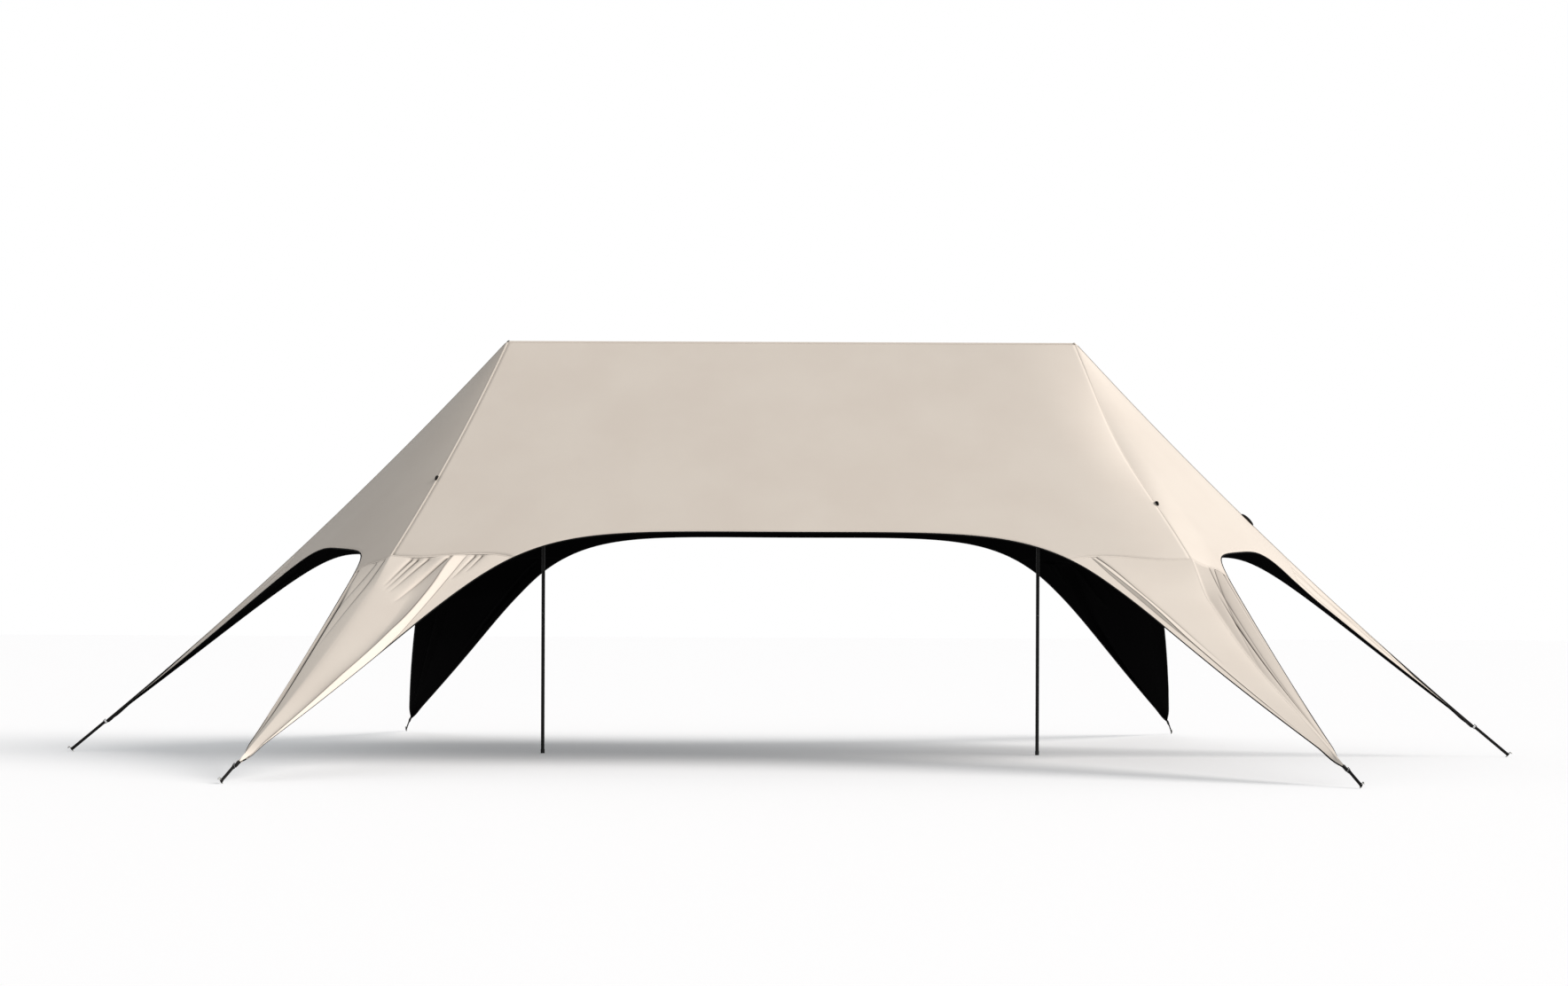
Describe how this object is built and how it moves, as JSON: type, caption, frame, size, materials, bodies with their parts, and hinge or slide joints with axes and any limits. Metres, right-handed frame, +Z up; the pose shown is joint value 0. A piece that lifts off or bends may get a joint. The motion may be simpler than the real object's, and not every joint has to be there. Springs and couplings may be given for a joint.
{
  "type": "camping tarp",
  "caption": "Stretched fabric canopy over a straight ridge pole on uprights, with tapered legs strapped to ground pegs and open archways between them.",
  "frame": {"origin": "on the ground, midway between the two uprights", "axes": "+X along the ridge to the right as seen in the picture, +Y from the front panel to the back panel, +Z up"},
  "size_m": [12.27, 7.3464, 3.5],
  "materials": {
    "beige_fabric": "matt woven polyester, beige outside and coated black underneath",
    "black_steel": "semi-matt black powder coat on steel tube",
    "bare_steel": "plain zinc-plated steel rod",
    "black_plastic": "moulded matt black",
    "black_rubber": "matt black moulded rubber",
    "black_webbing": "flat woven black webbing"
  },
  "bodies": {
    "root": {"front_panel": "beige_fabric", "back_panel": "beige_fabric", "left_front_gore": "beige_fabric", "left_back_gore": "beige_fabric", "right_front_gore": "beige_fabric", "right_back_gore": "beige_fabric", "front_left_leg": "beige_fabric", "front_right_leg": "beige_fabric", "right_leg": "beige_fabric", "back_right_leg": "beige_fabric", "back_left_leg": "beige_fabric", "left_leg": "beige_fabric", "left_foot": "black_rubber", "left_upright_lower": "black_steel", "left_upright_middle": "black_steel", "left_upright_upper": "black_steel", "right_foot": "black_rubber", "right_upright_lower": "black_steel", "right_upright_middle": "black_steel", "right_upright_upper": "black_steel", "ridge_pole_left": "black_steel", "ridge_pole_middle": "black_steel", "ridge_pole_right": "black_steel", "ridge_cap_left": "black_plastic", "ridge_cap_right": "black_plastic", "front_left_strap": "black_webbing", "front_left_buckle": "black_plastic", "front_left_peg": "bare_steel", "front_right_strap": "black_webbing", "front_right_buckle": "black_plastic", "front_right_peg": "bare_steel", "right_strap": "black_webbing", "right_buckle": "black_plastic", "right_peg": "bare_steel", "back_right_strap": "black_webbing", "back_right_buckle": "black_plastic", "back_right_peg": "bare_steel", "back_left_strap": "black_webbing", "back_left_buckle": "black_plastic", "back_left_peg": "bare_steel", "left_strap": "black_webbing", "left_buckle": "black_plastic", "left_peg": "bare_steel"}
  },
  "joints": []
}
